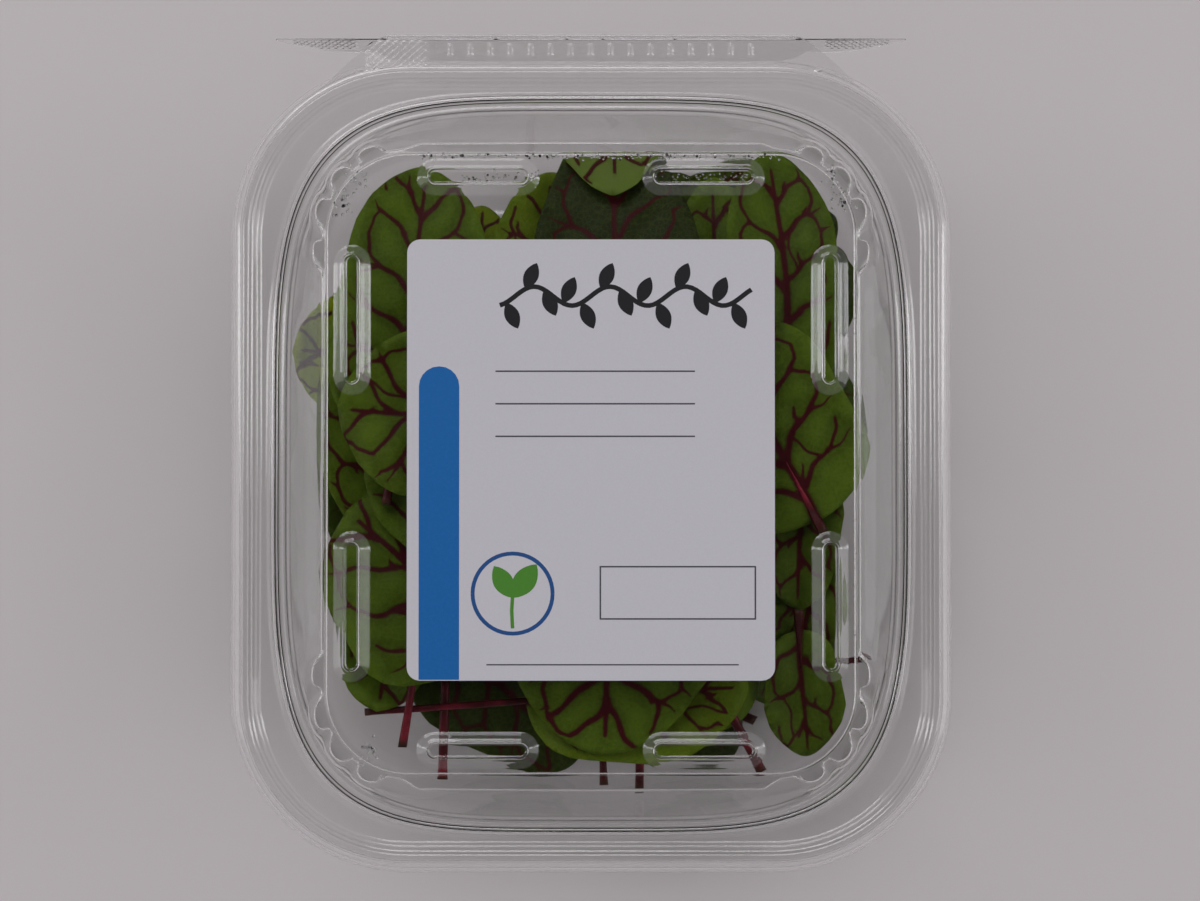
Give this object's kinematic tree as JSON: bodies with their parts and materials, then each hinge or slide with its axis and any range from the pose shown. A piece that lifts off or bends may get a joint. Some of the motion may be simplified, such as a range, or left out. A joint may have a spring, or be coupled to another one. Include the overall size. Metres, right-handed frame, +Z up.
{
  "type": "clamshell pack of red-veined sorrel leaves",
  "caption": "Clear hinged rectangular clamshell with a tear strip along its hinge, ribbed lid and plain paper label, filled with loose red-veined sorrel leaves.",
  "frame": {"origin": "middle of the tray's flat underside", "axes": "+Z up through the lid, +Y towards the hinge and tear strip, +X to the right seen from the front"},
  "size_m": [0.1702, 0.1963, 0.0517],
  "materials": {
    "clear_sheet": "clear thermoformed PET, glossy",
    "label_paper": "smooth coated paper",
    "sorrel_leaf": "satin green leaf with dark red veins and stalk"
  },
  "bodies": {
    "tray": {"tray": "clear_sheet", "leaf_under_01": "sorrel_leaf", "leaf_under_02": "sorrel_leaf", "leaf_under_03": "sorrel_leaf", "leaf_under_04": "sorrel_leaf", "leaf_under_05": "sorrel_leaf", "leaf_under_06": "sorrel_leaf", "leaf_under_07": "sorrel_leaf", "leaf_under_08": "sorrel_leaf", "leaf_under_09": "sorrel_leaf", "leaf_under_10": "sorrel_leaf", "leaf_under_11": "sorrel_leaf", "leaf_under_12": "sorrel_leaf", "leaf_under_13": "sorrel_leaf", "leaf_under_14": "sorrel_leaf", "leaf_under_15": "sorrel_leaf", "leaf_under_16": "sorrel_leaf", "leaf_under_17": "sorrel_leaf", "leaf_under_18": "sorrel_leaf", "leaf_under_19": "sorrel_leaf", "leaf_under_20": "sorrel_leaf", "leaf_under_21": "sorrel_leaf", "leaf_under_22": "sorrel_leaf", "leaf_under_23": "sorrel_leaf", "leaf_under_24": "sorrel_leaf", "leaf_under_25": "sorrel_leaf", "leaf_under_26": "sorrel_leaf", "leaf_under_27": "sorrel_leaf", "leaf_under_28": "sorrel_leaf", "leaf_under_29": "sorrel_leaf", "leaf_under_30": "sorrel_leaf", "leaf_under_31": "sorrel_leaf", "leaf_top_01": "sorrel_leaf", "leaf_top_02": "sorrel_leaf", "leaf_top_03": "sorrel_leaf", "leaf_top_04": "sorrel_leaf", "leaf_top_05": "sorrel_leaf", "leaf_top_06": "sorrel_leaf", "leaf_top_07": "sorrel_leaf", "leaf_top_08": "sorrel_leaf", "leaf_top_09": "sorrel_leaf", "leaf_top_10": "sorrel_leaf", "leaf_top_11": "sorrel_leaf", "leaf_top_12": "sorrel_leaf", "leaf_top_13": "sorrel_leaf", "leaf_top_14": "sorrel_leaf", "leaf_top_15": "sorrel_leaf", "leaf_top_16": "sorrel_leaf", "leaf_top_17": "sorrel_leaf", "leaf_top_18": "sorrel_leaf", "leaf_top_19": "sorrel_leaf", "leaf_top_20": "sorrel_leaf", "leaf_top_21": "sorrel_leaf", "leaf_top_22": "sorrel_leaf", "leaf_top_23": "sorrel_leaf", "leaf_top_24": "sorrel_leaf"},
    "lid": {"lid": "clear_sheet", "label": "label_paper"}
  },
  "joints": [
    {"name": "lid_hinge", "type": "hinge", "parent": "tray", "child": "lid", "pos_m": [0, 0.1006, 0.03695], "axis": [-1, 0, 0], "range_deg": [0, 180]}
  ]
}
